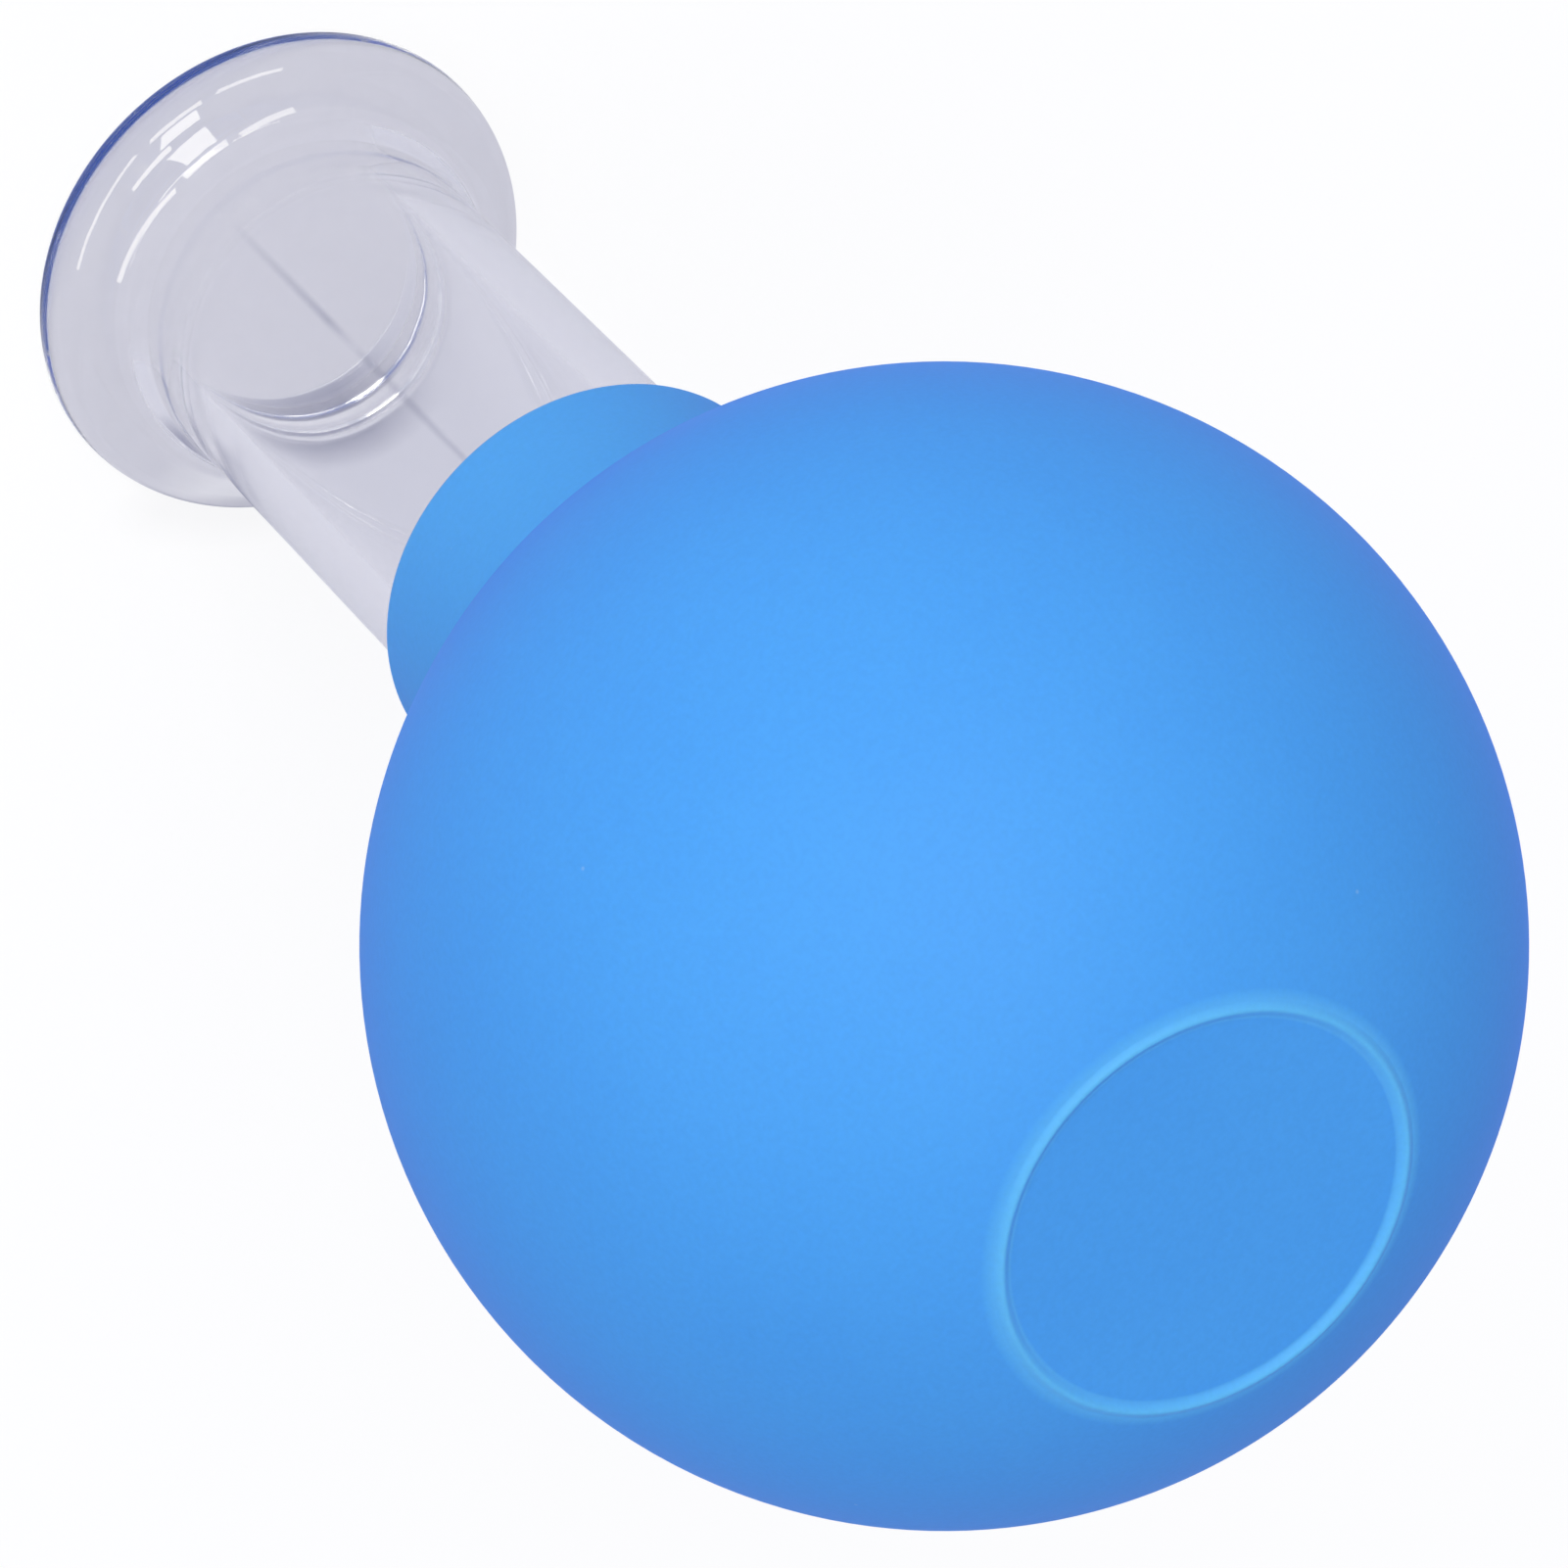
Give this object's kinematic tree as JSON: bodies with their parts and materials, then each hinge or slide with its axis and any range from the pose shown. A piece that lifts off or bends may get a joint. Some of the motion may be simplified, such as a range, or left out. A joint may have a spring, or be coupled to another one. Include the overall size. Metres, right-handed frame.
{
  "type": "squeeze bulb with suction cup",
  "caption": "Clear suction cup whose tube is gripped by the collar of a hollow silicone squeeze ball with a flat base.",
  "frame": {"origin": "on the axis, in the plane of the cup's rim, on which the part stands", "axes": "+Z along the axis of the cup and ball, from the cup's mouth to the ball's flat base"},
  "size_m": [0.048, 0.048, 0.0895],
  "materials": {
    "silicone": "satin, moulded",
    "silicone_base": "satin, moulded",
    "clear_plastic": "clear, polished mould"
  },
  "bodies": {
    "cup": {"suction_cup": "clear_plastic"},
    "bulb": {"squeeze_bulb": "silicone"},
    "base": {"bulb_base": "silicone_base"}
  },
  "joints": [
    {"name": "bulb_pull_off", "type": "slide", "parent": "cup", "child": "bulb", "axis": [0, 0, 1], "range_m": [0, 0.012]},
    {"name": "bulb_squeeze", "type": "slide", "parent": "bulb", "child": "base", "axis": [0, 0, -1], "range_m": [0, 0.012], "stiffness_N_per_m": 400}
  ]
}
